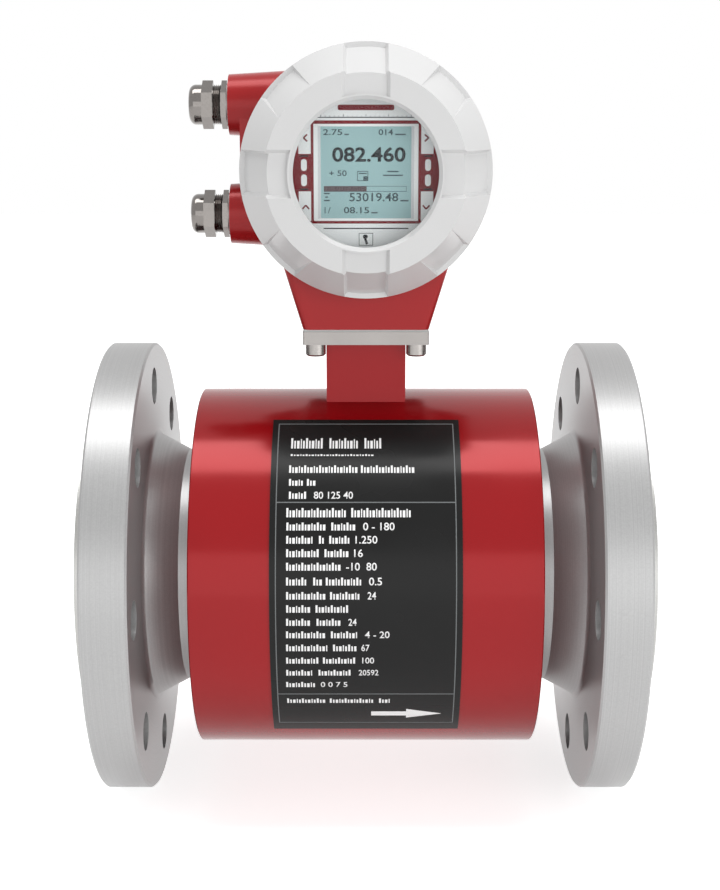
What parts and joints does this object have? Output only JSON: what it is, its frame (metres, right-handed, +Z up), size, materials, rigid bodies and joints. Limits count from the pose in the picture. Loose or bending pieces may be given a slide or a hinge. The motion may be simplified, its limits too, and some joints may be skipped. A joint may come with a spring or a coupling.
{
  "type": "electromagnetic flow meter",
  "caption": "Flanged electromagnetic flow meter: lined measuring tube in a red round shell, with a two-chamber converter head, display window, screw covers and cable glands.",
  "frame": {"origin": "pipe axis at mid-length", "axes": "+X along the flow, +Z up through the neck to the converter head, the display looks along -Y"},
  "size_m": [0.264, 0.22, 0.362],
  "materials": {
    "flange_steel": "fine machined and painted silver grey",
    "pipe_steel": "mill finish",
    "ptfe": "smooth white fluoropolymer",
    "ring_steel": "turned stainless",
    "red_steel": "glossy red paint on steel",
    "red_casting": "glossy red paint on die-cast aluminium",
    "grey_casting": "light grey paint on die-cast aluminium",
    "collar_steel": "satin stainless",
    "screw_steel": "stainless screws",
    "small_steel": "bright zinc plating",
    "seal_rubber": "black nitrile",
    "gasket_rubber": "pale grey silicone",
    "black_plate": "black printed plate",
    "winding": "enamelled copper wire with tape",
    "core_iron": "phosphated soft iron",
    "electrode_alloy": "polished nickel alloy",
    "insulator": "moulded insulator",
    "glass": "clear toughened glass",
    "bezel_plastic": "light grey printed plate with maroon fields",
    "lcd": "blue-grey liquid crystal display",
    "key_lens": "white translucent lenses",
    "board": "green solder mask",
    "terminal_plastic": "green terminal plastic",
    "nickel": "nickel-plated brass"
  },
  "bodies": {
    "meter": {"board_screws": "small_steel", "coil_lower": "winding", "coil_upper": "winding", "collar_gasket": "gasket_rubber", "collar_screws": "screw_steel", "converter_housing": "red_casting", "display_bezel": "bezel_plastic", "display_board": "board", "earthing_ring_inlet": "ring_steel", "earthing_ring_outlet": "ring_steel", "electrode_back": "electrode_alloy", "electrode_bushes": "insulator", "electrode_front": "electrode_alloy", "electrode_nuts": "small_steel", "electrode_washers": "small_steel", "end_plate_inlet": "red_steel", "end_plate_outlet": "red_steel", "flange_inlet": "flange_steel", "flange_outlet": "flange_steel", "gland_body_lower": "nickel", "gland_body_upper": "nickel", "gland_washer_lower": "gasket_rubber", "gland_washer_upper": "gasket_rubber", "key_lenses": "key_lens", "lcd_module": "lcd", "lower_pillars": "insulator", "magnet_yoke": "core_iron", "main_board": "board", "measuring_tube": "pipe_steel", "nameplate": "black_plate", "neck_collar": "collar_steel", "neck_duct": "red_steel", "pole_shoe_lower": "core_iron", "pole_shoe_upper": "core_iron", "sensor_shell": "red_steel", "terminal_block_left": "terminal_plastic", "terminal_block_right": "terminal_plastic", "terminal_board": "board", "terminal_pillars": "insulator", "tube_liner": "ptfe", "upper_pillars": "insulator"},
    "front_seal": {"front_cover_seal": "seal_rubber"},
    "front_cover": {"front_cover": "grey_casting", "window_seal": "seal_rubber", "window_glass": "glass", "window_retainer": "small_steel"},
    "rear_seal": {"rear_cover_seal": "seal_rubber"},
    "rear_cover": {"rear_cover": "grey_casting"},
    "claws_upper": {"gland_claws_upper": "insulator", "gland_bush_upper": "seal_rubber"},
    "nut_upper": {"gland_nut_upper": "nickel"},
    "claws_lower": {"gland_claws_lower": "insulator", "gland_bush_lower": "seal_rubber"},
    "nut_lower": {"gland_nut_lower": "nickel"}
  },
  "joints": [
    {"name": "front_cover_travel", "type": "slide", "parent": "meter", "child": "front_seal", "axis": [0, -1, 0], "range_m": [0, 0.0101]},
    {"name": "front_cover_turn", "type": "hinge", "parent": "front_seal", "child": "front_cover", "pos_m": [0, -0.045, 0.195], "axis": [0, -1, 0], "range_deg": [0, 1800]},
    {"name": "rear_cover_travel", "type": "slide", "parent": "meter", "child": "rear_seal", "axis": [0, 1, 0], "range_m": [0, 0.0101]},
    {"name": "rear_cover_turn", "type": "hinge", "parent": "rear_seal", "child": "rear_cover", "pos_m": [0, 0.045, 0.195], "axis": [0, 1, 0], "range_deg": [0, 1800]},
    {"name": "gland_nut_upper_travel", "type": "slide", "parent": "meter", "child": "claws_upper", "axis": [-1, 0, 0], "range_m": [0, 0.0061]},
    {"name": "gland_nut_upper_turn", "type": "hinge", "parent": "claws_upper", "child": "nut_upper", "pos_m": [-0.078, 0, 0.2244], "axis": [-1, 0, 0], "range_deg": [0, 1440]},
    {"name": "gland_nut_lower_travel", "type": "slide", "parent": "meter", "child": "claws_lower", "axis": [-1, 0, 0], "range_m": [0, 0.0061]},
    {"name": "gland_nut_lower_turn", "type": "hinge", "parent": "claws_lower", "child": "nut_lower", "pos_m": [-0.078, 0, 0.1736], "axis": [-1, 0, 0], "range_deg": [0, 1440]}
  ],
  "couplings": [
    {"joint": "front_cover_travel", "follows": "front_cover_turn", "m_per_rad": 0.00031831},
    {"joint": "rear_cover_travel", "follows": "rear_cover_turn", "m_per_rad": 0.00031831},
    {"joint": "gland_nut_upper_travel", "follows": "gland_nut_upper_turn", "m_per_rad": 0.00023873},
    {"joint": "gland_nut_lower_travel", "follows": "gland_nut_lower_turn", "m_per_rad": 0.00023873}
  ]
}
